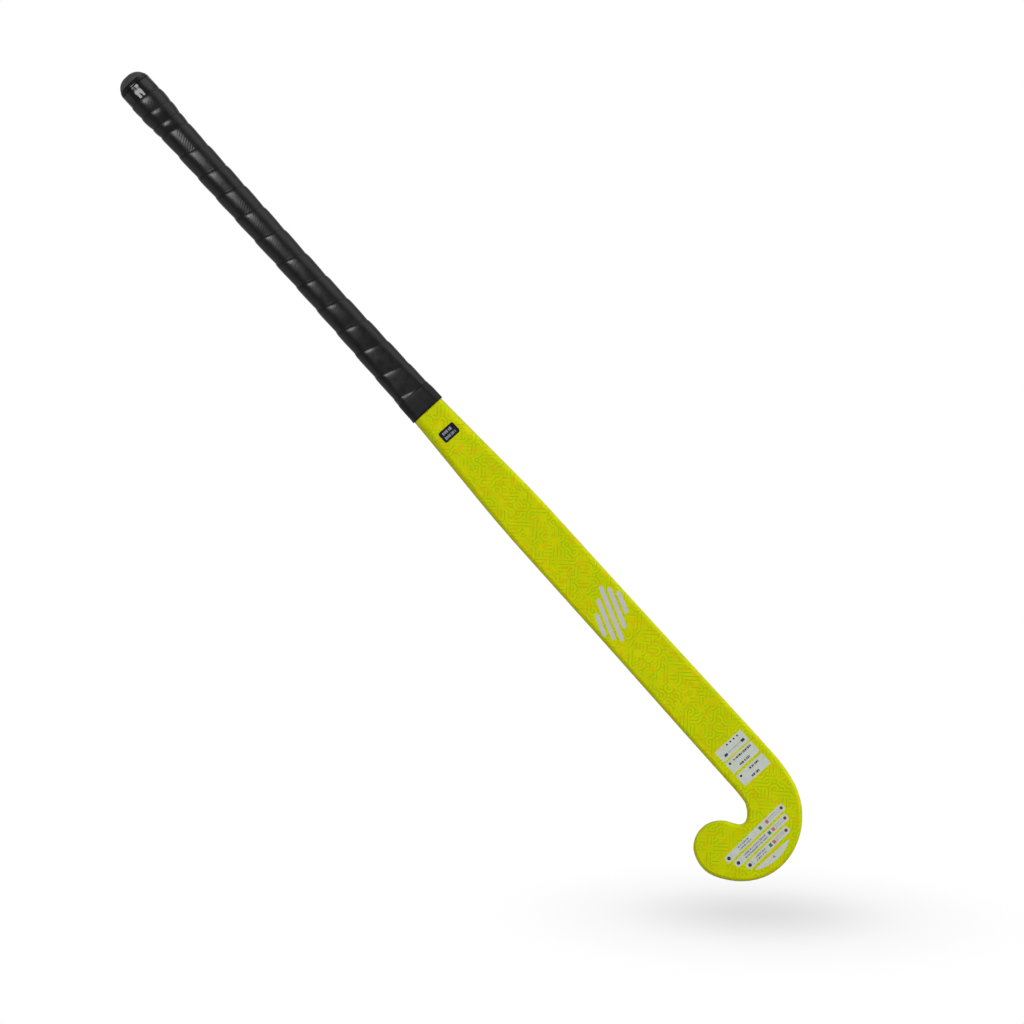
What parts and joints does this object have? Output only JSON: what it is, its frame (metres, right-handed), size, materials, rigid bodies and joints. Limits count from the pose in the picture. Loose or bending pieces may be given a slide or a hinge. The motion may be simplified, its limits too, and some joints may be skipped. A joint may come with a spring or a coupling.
{
  "type": "field hockey stick",
  "caption": "Composite field hockey stick: curved head with a flat playing face, gently bowed flattened shaft, spiral wound cushion grip and domed butt.",
  "frame": {"origin": "bottom centre of the whole stick's box, level with the lowest point of the heel", "axes": "+Z runs from the heel to the butt, with the two ends of the stick one above the other. -Y is the way the flat side looks, and the head's own face looks 5.8 degrees above it. -X is the way the toe points"},
  "size_m": [0.1173, 0.0434, 0.9273],
  "materials": {
    "lacquered_shell": "satin lacquer over a printed fibre laminate, lime yellow with fine green line work",
    "inner_tube": "bare carbon and glass laminate",
    "foam": "cut polyurethane foam",
    "butt_rubber": "moulded rubber, satin",
    "gloss_band": "high gloss heat-shrunk band",
    "adhesive_tape": "thin double sided tape",
    "cushion_tape": "soft embossed polyurethane tape, satin",
    "finishing_tape": "smooth vinyl tape",
    "badge_film": "printed film",
    "emblem_film": "printed film",
    "label_film": "printed film"
  },
  "bodies": {
    "root": {"shaft_shell": "lacquered_shell", "heel_side_tube": "inner_tube", "toe_side_tube": "inner_tube", "head_core": "foam", "handle_plug": "foam", "butt_cap": "butt_rubber", "butt_collar": "gloss_band", "grip_base_tape": "adhesive_tape", "cushion_grip": "cushion_tape", "grip_finishing_tape": "finishing_tape", "handle_badge": "badge_film", "face_emblem": "emblem_film", "spec_panel_upper": "label_film", "spec_panel_middle": "label_film", "spec_panel_lower": "label_film", "head_strip_upper": "label_film", "head_strip_middle": "label_film", "head_strip_lower": "label_film", "head_crescent_label": "label_film"}
  },
  "joints": []
}
